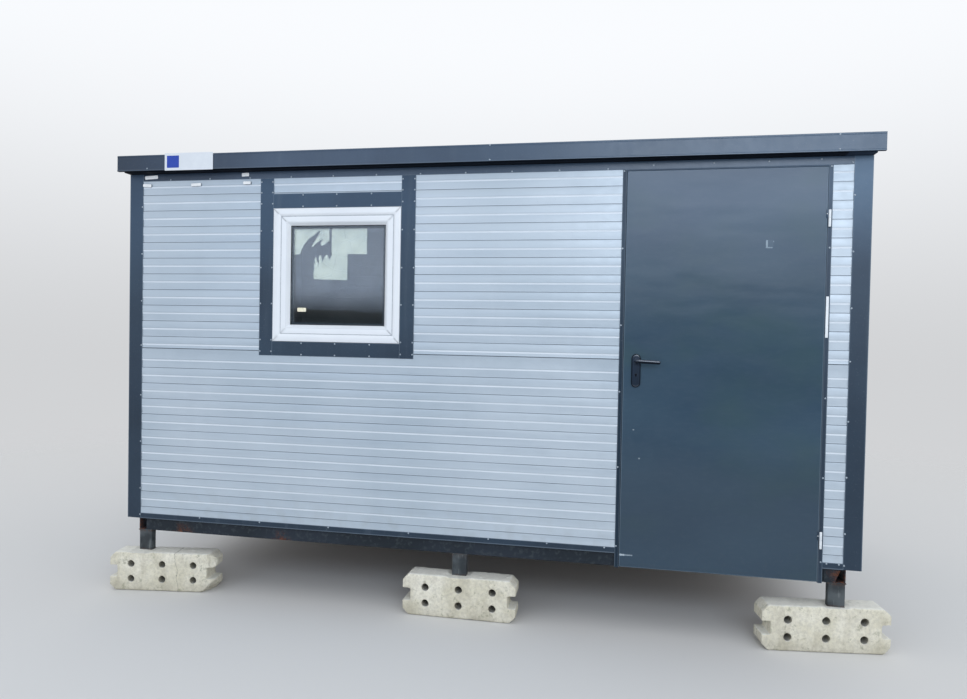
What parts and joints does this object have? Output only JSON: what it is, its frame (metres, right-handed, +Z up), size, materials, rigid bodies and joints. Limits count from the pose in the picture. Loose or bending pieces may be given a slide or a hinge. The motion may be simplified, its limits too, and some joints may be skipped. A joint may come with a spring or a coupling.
{
  "type": "portable site cabin",
  "caption": "Single-room site cabin with profiled metal walls, a window and a steel door with a lever handle, standing on precast concrete feet.",
  "frame": {"origin": "on the ground under the middle of the cabin", "axes": "+X along the front wall towards the door, +Y from the front wall to the rear, +Z up"},
  "size_m": [4.7364, 2.5702, 2.769],
  "materials": {
    "concrete": "rough worn precast concrete",
    "panel_silver": "satin silver coil coating with fine horizontal profile lines",
    "frame_paint": "dull dark paint with rust spots",
    "floor_board": "film faced plywood",
    "trim_anthracite": "matt anthracite coated sheet",
    "door_paint": "satin anthracite paint on sheet steel",
    "white_pvc": "smooth white plastic",
    "window_glass": "clear double glazing",
    "handle_black": "black coated",
    "zinc": "zinc plated",
    "white_plastic": "matt white plastic",
    "sign_white": "bare white sign board",
    "roof_sheet": "coated roof sheet with trapezoid ribs"
  },
  "bodies": {
    "cabin": {"base_beam_front": "frame_paint", "base_beam_left": "frame_paint", "base_beam_rear": "frame_paint", "base_beam_right": "frame_paint", "base_legs": "frame_paint", "bottom_flashings": "trim_anthracite", "concrete_foot_front_left": "concrete", "concrete_foot_front_middle": "concrete", "concrete_foot_front_right": "concrete", "concrete_foot_rear_left": "concrete", "concrete_foot_rear_middle": "concrete", "concrete_foot_rear_right": "concrete", "corner_flashings": "trim_anthracite", "door_frame": "door_paint", "door_threshold": "door_paint", "fascia_front": "trim_anthracite", "fascia_left": "trim_anthracite", "fascia_rear": "trim_anthracite", "fascia_right": "trim_anthracite", "floor_deck": "floor_board", "floor_joists": "frame_paint", "front_wall_beside_door": "panel_silver", "front_wall_lower": "panel_silver", "front_wall_over_door": "panel_silver", "front_wall_over_window": "panel_silver", "front_wall_under_window": "panel_silver", "front_wall_upper_left": "panel_silver", "front_wall_upper_right": "panel_silver", "hinge_cover_strip": "white_plastic", "hinge_pins": "zinc", "left_wall_lower": "panel_silver", "left_wall_upper": "panel_silver", "rear_wall_lower": "panel_silver", "rear_wall_upper": "panel_silver", "right_wall_lower": "panel_silver", "right_wall_upper": "panel_silver", "roof_panel": "roof_sheet", "sign_plate": "sign_white", "top_flashings": "trim_anthracite", "window_frame": "white_pvc", "window_glass": "window_glass", "window_sash": "white_pvc", "window_surround": "trim_anthracite"},
    "door": {"door_leaf": "door_paint", "handle_plate_outside": "handle_black", "handle_plate_inside": "handle_black", "lock_cylinder": "zinc", "hinge_knuckles": "zinc"},
    "lever": {"lever_set": "handle_black"}
  },
  "joints": [
    {"name": "door_hinge", "type": "hinge", "parent": "cabin", "child": "door", "pos_m": [1.99, -1.2115, 1.4925], "axis": [0, 0, 1], "range_deg": [0, 165]},
    {"name": "lever_turn", "type": "hinge", "parent": "door", "child": "lever", "pos_m": [1, -1.208, 1.545], "axis": [0, 1, 0], "range_deg": [0, 40], "stiffness_Nm_per_rad": 1, "springref_deg": -34.38}
  ]
}
